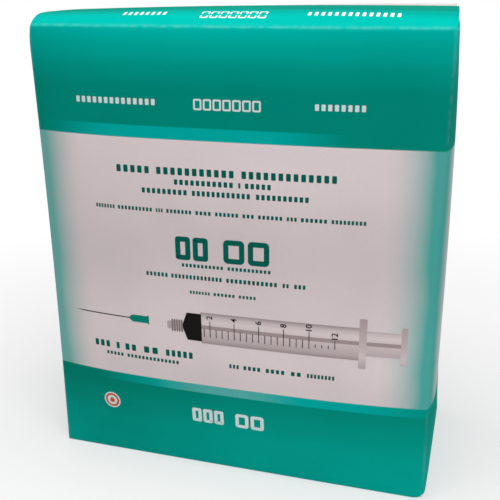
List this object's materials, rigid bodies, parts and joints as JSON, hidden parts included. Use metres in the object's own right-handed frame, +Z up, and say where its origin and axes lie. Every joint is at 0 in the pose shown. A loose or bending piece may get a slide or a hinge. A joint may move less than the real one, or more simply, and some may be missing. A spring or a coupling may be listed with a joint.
{
  "type": "sealed syringe carton",
  "caption": "Sealed folding carton of bagged syringes, upright and bulged, with green and white print, a domed glued lid and a flat underside.",
  "frame": {"origin": "middle of the underside, on the surface that the carton stands on", "axes": "+Z up, X along the wide printed front, and the front faces -Y"},
  "size_m": [0.253, 0.1324, 0.2946],
  "materials": {
    "printed_board": "glossy laminated print in green and white"
  },
  "bodies": {
    "root": {"carton": "printed_board"}
  },
  "joints": []
}
